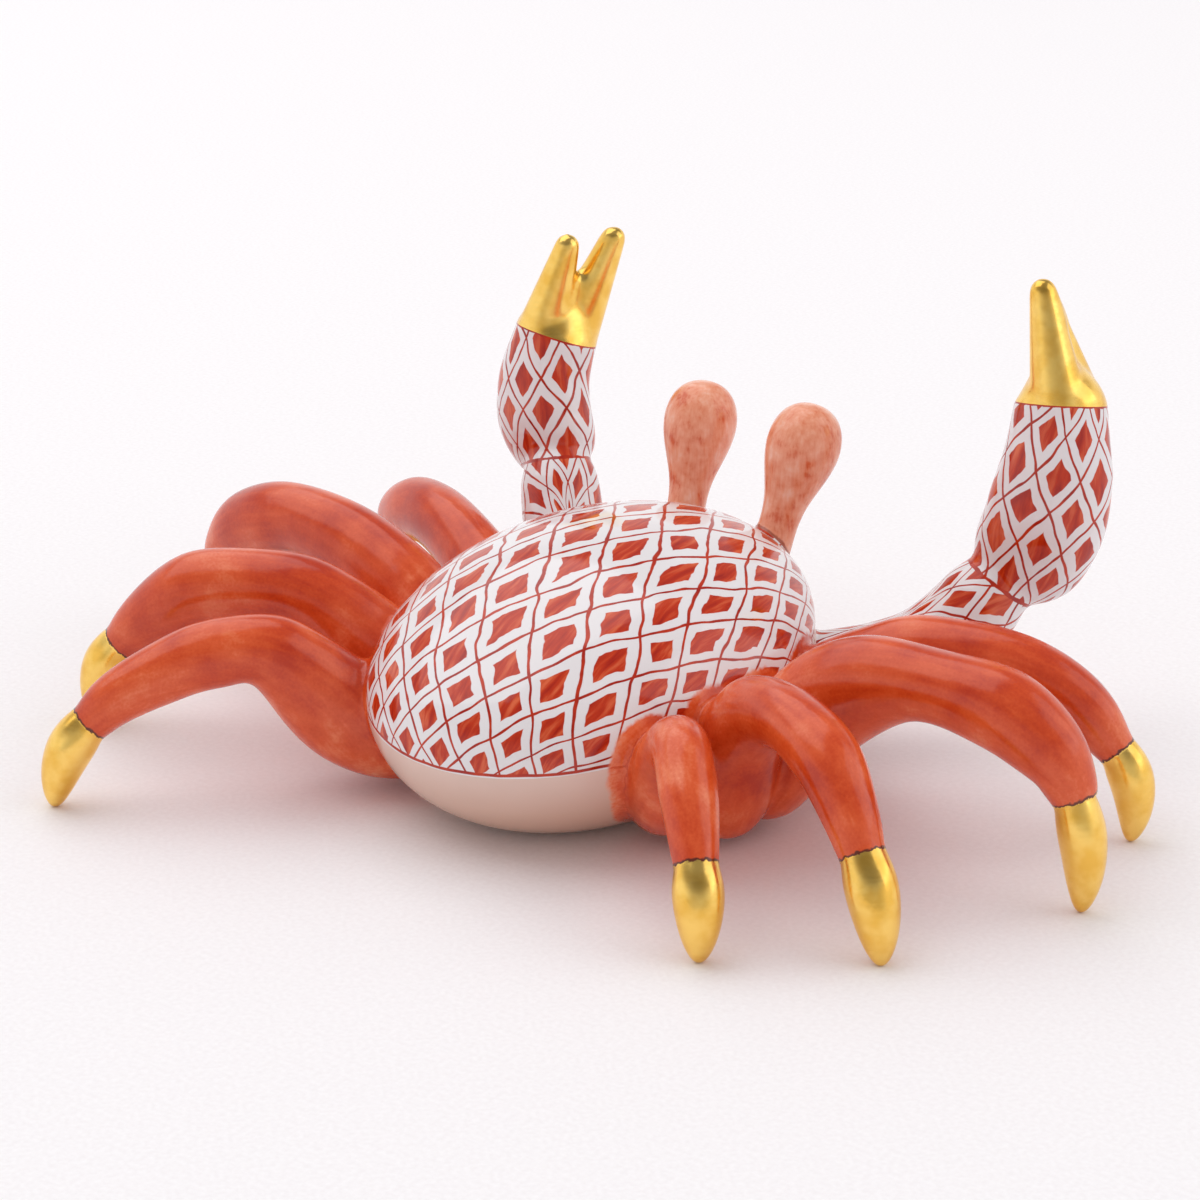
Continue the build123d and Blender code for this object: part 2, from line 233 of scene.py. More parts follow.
low_hips = [vertex.index for vertex in clay.data.vertices
            if vertex.co.z < low_hip_height and vertex.groups[0].weight > low_hip_weight]
clay.vertex_groups["seams"].add(low_hips, low_hip_weight, "REPLACE")
shape(clay, "SMOOTH", factor=rub_strength, iterations=sponge_rubs)
shape(clay, "SMOOTH", factor=rub_strength, iterations=seam_rubs, vertex_group="seams")

# A much smoothed copy gives each point its relief in mm, proud or sunk. From it the coral is made darker in
# hollows and paler on ridges: partly glaze pooling and thinning, partly painted shade and painted
# highlight.
smoothed_for_relief = clay_copy("smoothed_for_relief", clay)
shape(smoothed_for_relief, "SMOOTH", factor=rub_strength, iterations=relief_rubs)
mark(clay, "relief", [(point.co - low.co).dot(point.normal) / mm
                      for point, low in zip(clay.data.vertices, smoothed_for_relief.data.vertices)])
bpy.data.objects.remove(smoothed_for_relief)

# Parting body and limbs: the body's own form, a hair larger, is taken out of the clay, and
# what then still stands proud belongs to a leg, an arm or an eye.
parting_clearance = 0.27 * mm
body_grain = 0.5 * mm
body_rubs = 6
block_size = 300 * mm


def carve(piece, block, keep="DIFFERENCE"):
    """Takes away what lies inside a block, or keeps only that."""
    before = len(piece.data.vertices)
    shape(piece, "BOOLEAN", operation=keep, solver="MANIFOLD", object=block)
    if len(piece.data.vertices) in (0, before):
        raise RuntimeError(f"{piece.name} was not cut")
    bpy.data.objects.remove(block)


def part_off(piece, point, normal, keep="DIFFERENCE"):
    """Takes away what lies beyond a plane, on the side its normal points to, or keeps only that."""
    bpy.ops.object.select_all(action="DESELECT")
    bpy.ops.mesh.primitive_cube_add(size=block_size)
    block = bpy.context.object
    normal = Vector(normal).normalized()
    stand(block, Vector(point) + normal * block_size / 2, normal)
    carve(piece, block, keep)


def drop_crumbs(piece):
    """Keeps the largest part of a cut piece and throws away the crumbs that the cuts leave."""
    name = piece.name
    take(piece)
    bpy.ops.mesh.separate(type="LOOSE")
    *crumbs, piece = sorted(bpy.context.selected_objects, key=lambda part: len(part.data.vertices))
    for crumb in crumbs:
        bpy.data.objects.remove(crumb)
    piece.name = piece.data.name = name
    return piece


def finish_piece(piece, node, material):
    """Shades a cut piece like the clay it came from, so that no seam shows, and enters it."""
    piece = drop_crumbs(piece)
    take(piece)
    bpy.ops.object.shade_smooth()
    shape(piece, "DATA_TRANSFER", object=clay, use_loop_data=True, data_types_loops={"CUSTOM_NORMAL"},
          loop_mapping="POLYINTERP_NEAREST")
    piece.vertex_groups.clear()
    piece.data.materials.clear()
    piece.data.materials.append(material)
    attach(piece, "root")
    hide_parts(node)


take(clay)
bpy.ops.object.shade_smooth()
shape(body_form, "REMESH", mode="VOXEL", voxel_size=body_grain)
shape(body_form, "SMOOTH", factor=rub_strength, iterations=body_rubs)
shape(body_form, "DISPLACE", strength=parting_clearance, mid_level=0)
limb_clay = clay_copy("limb_clay", clay)
shape(limb_clay, "BOOLEAN", operation="DIFFERENCE", solver="MANIFOLD", object=body_form)
body_clay = clay_copy("body_clay", clay)
shape(body_clay, "BOOLEAN", operation="INTERSECT", solver="MANIFOLD", object=body_form)

# Upper shell: the domed half of the cast body, white glazed, with a net of crossing brush
# lines and a filled lozenge in each mesh, painted by eye in iron red, and a line at the rim.
# The coral of the legs runs a little way onto it.
body_half_sizes = (20.4, 25.9, 12.0)
rim_height = 13.0
body_pitch = math.radians(7)
arc_across = 26.3
arc_along = 31.7
net_width = 5.0
net_length = 8.6
net_sway_size = 7
net_sway = 0.34
half_mesh = 0.5
pressure_size = 1.6
line_share = 0.032
line_swing = 0.04
line_blur = 0.008
hand_size = 2.3
lozenge_share = 0.27
lozenge_swing = 0.2
lozenge_blur = 0.009
white_cloud_size = 9
ink_cloud_size = 1.9
fill_stroke_size = 1
rim_line_height = 0.45
rim_line_edges = (0.12, 0.19)
rim_wander_size = 4
rim_wander = 0.3
inside_rim_edges = (0.4, 0.5)
shell_strokes_across = 8
shell_strokes_along = 1.8
shell_roughness = 0.1
body_swell_size = 4
body_swell_depth = 0.05
smallest_sine = 0.001


def paint(red, green, blue):
    """A colour as the eye reads it, 0 to 255, as the light values that a shader takes."""
    shares = [value / 255 for value in (red, green, blue)]
    return (*[share / 12.92 if share < 0.04 else ((share + 0.055) / 1.055) ** 2.4 for share in shares], 1.0)


class Steps:
    """The steps of a finish or of a light, added in the order they are laid on."""

    def __init__(self, tree):
        self.tree = tree

    def add(self, kind, sockets=(), output=0, **settings):
        step = self.tree.nodes.new(kind)
        for name, value in settings.items():
            setattr(step, name, value)
        for key, value in dict(sockets).items():
            self.feed(value, step.inputs[key])
        return step.outputs[output]

    def feed(self, value, socket):
        if isinstance(value, bpy.types.NodeSocket):
            self.tree.links.new(value, socket)
        else:
            socket.default_value = value

    def calc(self, operation, *values):
        return self.add("ShaderNodeMath", dict(enumerate(values)), operation=operation)

    def vector(self, operation, *values, output=0):
        return self.add("ShaderNodeVectorMath", dict(enumerate(values)), output=output, operation=operation)

    def split(self, vector):
        step = self.add("ShaderNodeSeparateXYZ", {0: vector}).node
        return step.outputs[0], step.outputs[1], step.outputs[2]

    def join(self, *parts):
        return self.add("ShaderNodeCombineXYZ", dict(enumerate(parts)))

    def ramp(self, value, low, high, start=0.0, end=1.0):
        """Start below low, end above high, and a soft step in between."""
        return self.add("ShaderNodeMapRange", {0: value, 1: low, 2: high, 3: start, 4: end},
                        interpolation_type="SMOOTHSTEP")


class Recipe(Steps):
    """One glaze or metal, whose patterns are laid out in mm on the piece itself."""

    def __init__(self, name, roughness):
        self.material = bpy.data.materials.new(name)
        self.material.use_nodes = True
        super().__init__(self.material.node_tree)
        self.shader = self.tree.nodes["Principled BSDF"]
        self.lay_on("Roughness", roughness)
        place = self.add("ShaderNodeTexCoord", output="Object")
        self.spot = self.add("ShaderNodeVectorMath", {0: place, "Scale": 1 / mm}, operation="SCALE")

    def lay_on(self, socket, value):
        """Gives one of the shader's sockets its value."""
        self.feed(value, self.shader.inputs[socket])

    def turned(self, centre, turn, stretch=(1, 1, 1)):
        """Places on the piece in mm, as seen from a centre and turned about it."""
        shift = -(Matrix.Rotation(turn[2], 3, "Z") @ Matrix.Rotation(turn[1], 3, "Y")
                  @ Matrix.Rotation(turn[0], 3, "X") @ Vector(centre))
        return self.add("ShaderNodeMapping", {"Vector": self.spot, "Location": shift, "Rotation": turn,
                                              "Scale": stretch})

    def mottle(self, size, spot=None, detail=2.0, output=0):
        """Cloudy variation, from 0 to 1, with clouds of about this size in mm."""
        sockets = {"Vector": spot or self.spot, "Scale": 1 / size, "Detail": detail}
        return self.add("ShaderNodeTexNoise", sockets, output=output)

    def sways(self, size):
        """Two cloudy variations that have nothing to do with each other."""
        return self.split(self.mottle(size, output=1))[:2]

    def marked(self, name):
        """A value that was written into the points of the piece."""
        return self.add("ShaderNodeAttribute", output=2, attribute_name=name)

    def blend(self, share, first, second):
        return self.add("ShaderNodeMix", {0: share, 6: first, 7: second}, output=2, data_type="RGBA")

    def tones(self, value, *stops):
        """A colour scale: pairs of a place from 0 to 1 and a colour."""
        step = self.add("ShaderNodeValToRGB", {0: value}).node
        scale = step.color_ramp
        while len(scale.elements) < len(stops):
            scale.elements.new(0.5)
        for element, (place, colour) in zip(scale.elements, stops):
            element.position = place
            element.color = colour
        return step.outputs[0]

    def uneven(self, height, depth):
        """Raises and sinks the surface a little; the depth is in mm."""
        self.lay_on("Normal", self.add("ShaderNodeBump", {"Height": height, "Distance": depth * mm,
                                                          "Strength": 1.0}))


white_tones = ((0.3, paint(229, 223, 225)), (0.7, paint(234, 229, 231)))
ink_dark = paint(162, 24, 4)
ink_mid = paint(193, 51, 14)
ink_light = paint(221, 102, 62)
line_tones = ((0.35, ink_dark), (0.65, ink_mid))
fill_tones = ((0.3, ink_dark), (0.5, ink_mid), (0.72, ink_light))


def painted_net(recipe, across, along):
    """The crossing lines and the lozenges between them, on places counted in meshes of the net."""
    rising = recipe.calc("PINGPONG", recipe.calc("ADD", across, along), half_mesh)
    falling = recipe.calc("PINGPONG", recipe.calc("SUBTRACT", across, along), half_mesh)
    depth = recipe.calc("MINIMUM", rising, falling)
    pressure = recipe.mottle(pressure_size, detail=3)
    width = recipe.calc("MULTIPLY_ADD", pressure, line_swing, line_share - line_swing / 2)
    lines = recipe.ramp(recipe.calc("SUBTRACT", depth, width), -line_blur, line_blur, 1, 0)
    margin = half_mesh - lozenge_share - lozenge_swing / 2
    hand = recipe.calc("MULTIPLY_ADD", recipe.mottle(hand_size), lozenge_swing, margin)
    lozenges = recipe.ramp(recipe.calc("SUBTRACT", depth, hand), -lozenge_blur, lozenge_blur)
    return lines, lozenges


def iron_red(recipe, lines, lozenges, brush_spot):
    """White glaze with the net on it: lines of full ink, and lozenges filled in with a soft brush."""
    white = recipe.tones(recipe.mottle(white_cloud_size, detail=1), *white_tones)
    fill = recipe.tones(recipe.mottle(fill_stroke_size, brush_spot, detail=3), *fill_tones)
    line_ink = recipe.tones(recipe.mottle(ink_cloud_size), *line_tones)
    return recipe.blend(lines, recipe.blend(lozenges, white, fill), line_ink)


# The coral glaze is brushed on along each limb. It is cloudy, streaked and speckled, and paler in
# patches near the body, where it is thin. It is darker in the hollows and paler on the ridges,
# partly where the glaze pools and thins, and partly as painted shade and painted highlight.
coral_scale = ((0.34, paint(186, 50, 14)), (0.45, paint(206, 70, 26)), (0.55, paint(220, 88, 42)),
               (0.66, paint(234, 120, 78)), (0.78, paint(240, 164, 130)))
cloud_size, cloud_share = 6.5, 0.68
streak_size, streak_share = 1, 0.2
speckle_size, speckle_share = 0.3, 0.12
hollow, ridge = -0.15, 0.75
hollow_tone, ridge_tone = -0.07, 0.12
patch_size, patch_tone = 5, 0.13
patch_edges = (0.42, 0.62)
patch_reach = (0.55, 1.0)


def coral_tones(recipe, brush_spot, paleness=0.0):
    """The coral glaze, with brush strokes along one way, and paler where it is laid on thinner."""
    clouds = recipe.mottle(cloud_size, detail=3)
    streaks = recipe.mottle(streak_size, brush_spot)
    speckle = recipe.mottle(speckle_size, detail=1)
    tone = recipe.calc("MULTIPLY_ADD", clouds, cloud_share, recipe.calc("MULTIPLY", streaks, streak_share))
    tone = recipe.calc("MULTIPLY_ADD", speckle, speckle_share, tone)
    # Darker in hollows and paler on ridges: partly glaze that pools and thins, partly painted shade and
    # painted highlight.
    pooling_and_painted_shade = recipe.ramp(recipe.marked("relief"), hollow, ridge, hollow_tone, ridge_tone)
    tone = recipe.calc("ADD", recipe.calc("ADD", tone, pooling_and_painted_shade), paleness)
    near_body = recipe.ramp(recipe.marked("near_body"), *patch_reach)
    patches = recipe.ramp(recipe.mottle(patch_size, detail=3), *patch_edges)
    tone = recipe.calc("MULTIPLY_ADD", recipe.calc("MULTIPLY", near_body, patches), patch_tone, tone)
    return recipe.tones(tone, *coral_scale)


# Where the coral ends on the body: round the feet of the legs, in an edge that wanders and
# frays. Only clay that stands clear of the body counts as leg, and only behind a line across
# the place of the first hip, as seen from above.
wander_size, wander_width = 5, 2.0
fray_size, fray_width = 0.7, 0.6
edge_width = 0.55
thinning_reach = (0.6, 2.2)
thinning_tones = (0.02, 0.15)
clear_height = 0.4 * mm
first_hip = Vector((16.6, -14.2, 0)) * mm
hips_way = Vector((0.6, 0.8, 0))

body_skin = BVHTree.FromObject(body_form, bpy.context.evaluated_depsgraph_get())
leg_points = KDTree(len(limb_clay.data.vertices))
for vertex in limb_clay.data.vertices:
    from_hip = Vector((abs(vertex.co.x), vertex.co.y, 0)) - first_hip
    if from_hip.dot(hips_way) > 0 and body_skin.find_nearest(vertex.co)[3] > clear_height:
        leg_points.insert(vertex.co, vertex.index)
leg_points.balance()
bpy.data.objects.remove(body_form)


def soft_edge(recipe, colour, brush_spot):
    """Lays the coral of the legs over a body glaze, where a leg stands near."""
    reach = recipe.marked("to_leg")
    wandering = recipe.calc("MULTIPLY_ADD", recipe.mottle(wander_size, detail=0), -wander_width, reach)
    fraying = recipe.calc("MULTIPLY_ADD", recipe.mottle(fray_size), -fray_width, wandering)
    edge = recipe.ramp(fraying, 0, edge_width, 1, 0)
    thinning = recipe.ramp(reach, *thinning_reach, *thinning_tones)
    return recipe.blend(edge, colour, coral_tones(recipe, brush_spot, thinning))


def mark_legs(piece):
    """Writes into each point of a body piece how far the nearest leg is, in mm."""
    mark(piece, "to_leg", [leg_points.find(vertex.co)[2] / mm for vertex in piece.data.vertices])


shell_glaze = Recipe("shell_glaze", shell_roughness)
shell_spot = shell_glaze.turned((0, 0, rim_height), (body_pitch, 0, 0))
on_ball = shell_glaze.vector("NORMALIZE", shell_glaze.vector("DIVIDE", shell_spot, body_half_sizes))
ball_x, ball_y, ball_z = shell_glaze.split(on_ball)
tilt = shell_glaze.calc("ARCCOSINE", ball_z)
off_axis = shell_glaze.calc("MAXIMUM", shell_glaze.calc("SINE", tilt), smallest_sine)
spread = shell_glaze.calc("DIVIDE", tilt, off_axis)
across = shell_glaze.calc("MULTIPLY", shell_glaze.calc("MULTIPLY", ball_x, spread),
                          arc_across / (math.pi / 2) / net_width)
along = shell_glaze.calc("MULTIPLY", shell_glaze.calc("MULTIPLY", ball_y, spread),
                         arc_along / (math.pi / 2) / net_length)
sway_across, sway_along = shell_glaze.sways(net_sway_size)
across = shell_glaze.calc("MULTIPLY_ADD", sway_across, net_sway, across)
along = shell_glaze.calc("MULTIPLY_ADD", sway_along, net_sway, along)
net_lines, net_lozenges = painted_net(shell_glaze, across, along)
above_rim = shell_glaze.split(shell_spot)[2]
above_rim = shell_glaze.calc("MULTIPLY_ADD", shell_glaze.mottle(rim_wander_size), rim_wander, above_rim)
from_rim_line = shell_glaze.calc("ABSOLUTE", shell_glaze.calc("SUBTRACT", above_rim, rim_line_height))
rim_line = shell_glaze.ramp(from_rim_line, *rim_line_edges, 1, 0)
inside_rim = shell_glaze.ramp(above_rim, *inside_rim_edges)
net_lines = shell_glaze.calc("MAXIMUM", shell_glaze.calc("MULTIPLY", net_lines, inside_rim), rim_line)
net_lozenges = shell_glaze.calc("MULTIPLY", net_lozenges, inside_rim)
shell_brush = shell_glaze.join(shell_glaze.calc("MULTIPLY", across, shell_strokes_across),
                               shell_glaze.calc("MULTIPLY", along, shell_strokes_along))
shell_colour = iron_red(shell_glaze, net_lines, net_lozenges, shell_brush)
shell_glaze.lay_on("Base Color", soft_edge(shell_glaze, shell_colour, shell_brush))
shell_glaze.uneven(shell_glaze.mottle(body_swell_size, detail=1), body_swell_depth)

rim_point = (0, 0, rim_height * mm)
rim_normal = (0, math.sin(body_pitch), math.cos(body_pitch))
carapace = clay_copy("carapace_dome", body_clay)
part_off(carapace, rim_point, rim_normal, "INTERSECT")
mark_legs(carapace)
finish_piece(carapace, "carapace", shell_glaze.material)

# Belly: the lower half of the cast body, a shallow bowl with a flat foot and a vent hole, left
# unpainted under its clear glaze. Its colour is warm all over and turns from pale at the rim to a
# darker beige low down. This is partly the glaze's own warm tint, and partly painted bounce light
# from the coral legs and painted shade. The coral of the legs ends on it in a brushed edge.
# Warm belly colours: partly the glaze's own tint, partly painted bounce light from the coral legs.
belly_tint_and_bounce_tones = ((0.3, paint(226, 198, 188)), (0.7, paint(233, 206, 196)))
belly_beige_and_shade = paint(208, 168, 148)
beige_and_shade_height = 3
belly_cloud_size = 8
belly_stroke_turn = (0, 0, 0.6)
belly_stroke_stretch = (0.5, 3, 3)
belly_roughness = 0.12
belly_glaze = Recipe("belly_glaze", belly_roughness)
belly_colour = belly_glaze.tones(belly_glaze.mottle(belly_cloud_size), *belly_tint_and_bounce_tones)
# Darker beige towards the bottom: partly the glaze's own tint, partly painted shade and bounce light.
beige_and_shade_low_down = belly_glaze.ramp(belly_glaze.split(belly_glaze.spot)[2], beige_and_shade_height, rim_height, 1, 0)
belly_colour = belly_glaze.blend(beige_and_shade_low_down, belly_colour, belly_beige_and_shade)
belly_brush = belly_glaze.turned((0, 0, 0), belly_stroke_turn, belly_stroke_stretch)
belly_glaze.lay_on("Base Color", soft_edge(belly_glaze, belly_colour, belly_brush))
belly_glaze.uneven(belly_glaze.mottle(body_swell_size, detail=1), body_swell_depth)
belly = clay_copy("belly_bowl", body_clay)
part_off(belly, rim_point, rim_normal)
mark_legs(belly)
finish_piece(belly, "belly", belly_glaze.material)
bpy.data.objects.remove(body_clay)

# Eyes: a ball on a short stalk, turned in one piece and stuck on, and brushed thinly with the
# coral glaze, so that the white clay shows through it. Dark glaze has pooled in a line round
# the foot, where the stalk meets the shell.
eye_room_out = (0.5, 13)
eye_room_back = (-45, -17)
eye_room_up = (15.2, 45)
eye_tones = ((0.34, paint(214, 100, 62)), (0.45, paint(232, 144, 110)), (0.56, paint(240, 164, 134)),
             (0.68, paint(245, 186, 162)))
eye_cloud_size, eye_cloud_share = 1.9, 0.7
eye_streak_size, eye_streak_share = 1, 0.3
eye_streak_stretch = (3, 3, 0.6)
foot_line_brown = paint(150, 58, 38)
foot_line_strength = 0.8
foot_line_edges = (1.031, 1.041)
foot_line_wander_size = 0.9
foot_line_wander = 0.02
eye_roughness = 0.16
eye_swell_size = 2
eye_swell_depth = 0.04


def eye_block(sign):
    """The room that one eye stands in, as a block to cut with."""
    rooms = (eye_room_out, eye_room_back, eye_room_up)
    middle = Vector([(low + high) / 2 for low, high in rooms])
    middle.x *= sign
    size = [(high - low) * mm for low, high in rooms]
    bpy.ops.object.select_all(action="DESELECT")
    bpy.ops.mesh.primitive_cube_add(size=1)
    block = bpy.context.object
    block.data.transform(Matrix.Translation(middle * mm) @ Matrix.Diagonal((*size, 1)))
    return block


eye_glaze = Recipe("eye_glaze", eye_roughness)
eye_clouds = eye_glaze.mottle(eye_cloud_size, detail=4)
eye_brush = eye_glaze.turned((0, 0, 0), (0, 0, 0), eye_streak_stretch)
eye_streaks = eye_glaze.mottle(eye_streak_size, eye_brush, detail=3)
eye_tone = eye_glaze.calc("MULTIPLY_ADD", eye_clouds, eye_cloud_share,
                          eye_glaze.calc("MULTIPLY", eye_streaks, eye_streak_share))
eye_colour = eye_glaze.tones(eye_tone, *eye_tones)
eye_spot = eye_glaze.turned((0, 0, rim_height), (body_pitch, 0, 0))
above_shell = eye_glaze.vector("LENGTH", eye_glaze.vector("DIVIDE", eye_spot, body_half_sizes), output=1)
wandering = eye_glaze.mottle(foot_line_wander_size, detail=3)
above_shell = eye_glaze.calc("MULTIPLY_ADD", wandering, foot_line_wander, above_shell)
foot_line = eye_glaze.ramp(above_shell, *foot_line_edges, foot_line_strength, 0)
eye_glaze.lay_on("Base Color", eye_glaze.blend(foot_line, eye_colour, foot_line_brown))
eye_glaze.uneven(eye_glaze.mottle(eye_swell_size), eye_swell_depth)
halves = {}
for side, sign in sides.items():
    halves[side] = clay_copy("half_" + side, limb_clay)
    part_off(halves[side], (0, 0, 0), (-sign, 0, 0))
    eye = clay_copy("painted_eye_" + side, halves[side])
    carve(eye, eye_block(sign), "INTERSECT")
    carve(halves[side], eye_block(sign))
    finish_piece(eye, "eye_" + side, eye_glaze.material)
bpy.data.objects.remove(limb_clay)

# Legs: pressed in clay, luted on side by side, brushed lengthwise with coral glaze and fired.
# Each ends in a gilded tip, and the gold ends on the coral in a thin, dark, ragged line.
# The lines give hip and end of each limb, as seen from above, from front to rear.
leg_places = ("front", "second", "third", "rear")
limb_lines = {
    "left": {
        "forearm": ((13.2, -17.1), (28.0, -31.7)),
        "front": ((20.0, -12.2), (48.0, -27.0)),
        "second": ((22.5, -2.1), (56.0, -6.0)),
        "third": ((20.9, 6.5), (49.2, 20.2)),
        "rear": ((17.2, 17.2), (38.3, 37.8)),
    },
    "right": {
        "forearm": ((-13.2, -17.1), (-28.0, -31.7)),
        "front": ((-19.9, -9.3), (-51.3, -17.5)),
        "second": ((-21.4, 0.5), (-54.7, -1.3)),
        "third": ((-17.8, 4.9), (-45.4, 18.6)),
        "rear": ((-15.9, 10.5), (-31.8, 27.6)),
    },
}
arch_foot = -2
strokes_along = 3.2
strokes_across = 1.3
leg_swell_size = 2.6
leg_swell_depth = 0.06
gold_cloud_size = 2.2
gold_tones = ((0.35, paint(242, 190, 86)), (0.6, paint(253, 210, 114)))
gilding_brown = paint(70, 32, 22)
brown_share = 0.9
brown_edges = (0.14, 0.3)
gold_edges = (-0.04, 0)
gold_reach = (5, 6)
gilding_fray_size = 0.6
gilding_fray_depth = 0.8
gilding_fray_start = -0.28
leg_roughness = 0.2
gold_roughness = 0.26


def gold_colour(recipe):
    """Bright gold, a little deeper in clouds."""
    return recipe.tones(recipe.mottle(gold_cloud_size, detail=3), *gold_tones)


def leg_glaze(name, hip, end, gilding):
    """The coral glaze of one leg, with brush strokes that follow its arch, and its gold edge."""
    recipe = Recipe(name, leg_roughness)
    heading = math.atan2(end[1] - hip[1], end[0] - hip[0])
    arch_centre = ((hip[0] + end[0]) / 2, (hip[1] + end[1]) / 2, arch_foot)
    out, aside, up = recipe.split(recipe.turned(arch_centre, (0, 0, -heading)))
    round_arch = recipe.calc("ARCTAN2", up, out)
    up_squared = recipe.calc("MULTIPLY", up, up)
    out_squared = recipe.calc("MULTIPLY", out, out)
    radius = recipe.calc("SQRT", recipe.calc("ADD", up_squared, out_squared))
    brush = recipe.join(recipe.calc("MULTIPLY", round_arch, strokes_along),
                        recipe.calc("MULTIPLY", aside, strokes_across),
                        recipe.calc("MULTIPLY", radius, strokes_across))
    coral = coral_tones(recipe, brush)
    point, normal = gilding
    offset = recipe.vector("SUBTRACT", recipe.spot, tuple(point / mm))
    height = recipe.vector("DOT_PRODUCT", offset, tuple(normal), output=1)
    near = recipe.ramp(recipe.vector("LENGTH", offset, output=1), *gold_reach, 1, 0)
    frayed = recipe.calc("MULTIPLY_ADD", recipe.mottle(gilding_fray_size, detail=3),
                         gilding_fray_depth, gilding_fray_start)
    height = recipe.calc("SUBTRACT", height, frayed)
    brown = recipe.calc("MULTIPLY", recipe.ramp(height, *brown_edges, brown_share, 0), near)
    gold = recipe.calc("MULTIPLY", recipe.ramp(height, *gold_edges, 1, 0), near)
    painted = recipe.blend(brown, coral, gilding_brown)
    recipe.lay_on("Base Color", recipe.blend(gold, painted, gold_colour(recipe)))
    recipe.lay_on("Metallic", gold)
    recipe.lay_on("Roughness", recipe.ramp(gold, 0, 1, leg_roughness, gold_roughness))
    recipe.uneven(recipe.mottle(leg_swell_size), leg_swell_depth)
    return recipe.material


def parting_plane(first, second):
    """The upright plane between two neighbouring limbs: a point and the normal towards the second."""
    (a, b), (c, d) = [[Vector((*point, 0)) * mm for point in limb] for limb in (first, second)]
    outward = (b - a).normalized() + (d - c).normalized()
    sideways = outward.cross(Vector((0, 0, 1))).normalized()
    if sideways.dot(c - a) < 0:
        sideways = -sideways
    return (a + c) / 2, sideways


def cut_limb(name, side, place):
    """One limb out of its side of the clay, cut clear of its neighbours in front and behind."""
    limb = clay_copy(name, halves[side])
    lines = limb_lines[side]
    places = list(lines)
    index = places.index(place)
    for neighbour in places[max(index - 1, 0):index] + places[index + 1:index + 2]:
        part_off(limb, *parting_plane(lines[place], lines[neighbour]))
    return limb


def gilding_line(node):
    """The flat end of a gilded piece: a point on it, and its normal, which points into the limb."""
    flat = max(node.data.polygons, key=lambda face: face.area)
    return Vector(flat.center), Vector(flat.normal)


for side in sides:
    for place in leg_places:
        gilding = gilding_line(cad[f"tip_{side}_{place}"])
        leg = cut_limb(f"painted_leg_{side}_{place}", side, place)
        part_off(leg, gilding[0], -gilding[1])
        glaze = leg_glaze(f"leg_glaze_{side}_{place}", *limb_lines[side][place], gilding)
        finish_piece(leg, f"leg_{side}_{place}", glaze)

# Gilded leg tips: the painted clay goes on to a blunt toe, covered with bright gold that is
# fired on and rubbed with an agate, which leaves fine scratches across it.
agate_stroke_size = 1
agate_turn = (0.5, 0.35, 0.2)
agate_stretch = (0.4, 0.4, 5)
scratch_depth = 0.002
rubbed_edges = (0.3, 0.7)
rubbed_roughness = (0.2, 0.27)
flat_angle = math.radians(40)

gold = Recipe("burnished_gold", gold_roughness)
agate_strokes = gold.mottle(agate_stroke_size, gold.turned((0, 0, 0), agate_turn, agate_stretch))
gold.lay_on("Base Color", gold_colour(gold))
gold.lay_on("Roughness", gold.ramp(agate_strokes, *rubbed_edges, *rubbed_roughness))
gold.lay_on("Metallic", 1.0)
gold.uneven(agate_strokes, scratch_depth)
for side in sides:
    for place in leg_places:
        tip = cad[f"tip_{side}_{place}"]
        tip.data.materials.clear()
        tip.data.materials.append(gold.material)
        take(tip)
        bpy.ops.object.shade_smooth_by_angle(angle=flat_angle)

# Arms: a forearm out of the body's front corner, a palm that stands up from the elbow, and a
# pincer of two fingers. The arm is white with the red net, which a painted line closes at the
# elbow and at the wrist, and the pincer is gilded all over.
elbows = {"left": (28.0, -31.7, 18.6), "right": (-28.0, -31.7, 17.0)}
elbow_leans = {"left": 0.44, "right": 0.6}
heels = {"left": (28.2, -33.7, 17.1), "right": (-28.2, -33.7, 15.8)}
shoulder_height = 9
palm_bulge_out = 1.3
palm_bulge_front = 0.5
forearm_net = (6, 7.4)
palm_net = (7, 7.8)
arm_sway_size = 6
arm_sway = 0.3
arm_strokes_across = 6
arm_strokes_along = 1.5
edge_line_edges = (0.34, 0.42)
edge_line_wander_size = 1.2
edge_line_wander = 0.4
arm_roughness = 0.1
arm_swell_size = 3
arm_swell_depth = 0.05


def arm_glaze(name, foot, direction, net, *edges):
    """The red net round an arm: the meshes around it, their length in mm, and painted edge lines."""
    recipe = Recipe(name, arm_roughness)
    meshes_around, mesh_length = net
    turn = direction.rotation_difference(Vector((0, 0, 1))).to_euler()
    x, y, z = recipe.split(recipe.turned(foot, tuple(turn)))
    sway_across, sway_along = recipe.sways(arm_sway_size)
    across = recipe.calc("MULTIPLY", recipe.calc("ARCTAN2", y, x), meshes_around / (2 * math.pi))
    across = recipe.calc("MULTIPLY_ADD", sway_across, arm_sway, across)
    along = recipe.calc("MULTIPLY_ADD", sway_along, arm_sway, recipe.calc("MULTIPLY", z, 1 / mesh_length))
    lines, lozenges = painted_net(recipe, across, along)
    brush = recipe.join(recipe.calc("MULTIPLY", across, arm_strokes_across),
                        recipe.calc("MULTIPLY", along, arm_strokes_along))
    for point, normal in edges:
        offset = recipe.vector("SUBTRACT", recipe.spot, tuple(point / mm))
        height = recipe.calc("ABSOLUTE", recipe.vector("DOT_PRODUCT", offset, tuple(normal), output=1))
        wandering = recipe.mottle(edge_line_wander_size, detail=3)
        height = recipe.calc("MULTIPLY_ADD", wandering, edge_line_wander, height)
        lines = recipe.calc("MAXIMUM", lines, recipe.ramp(height, *edge_line_edges, 1, 0))
    recipe.lay_on("Base Color", iron_red(recipe, lines, lozenges, brush))
    recipe.uneven(recipe.mottle(arm_swell_size, detail=1), arm_swell_depth)
    return recipe.material


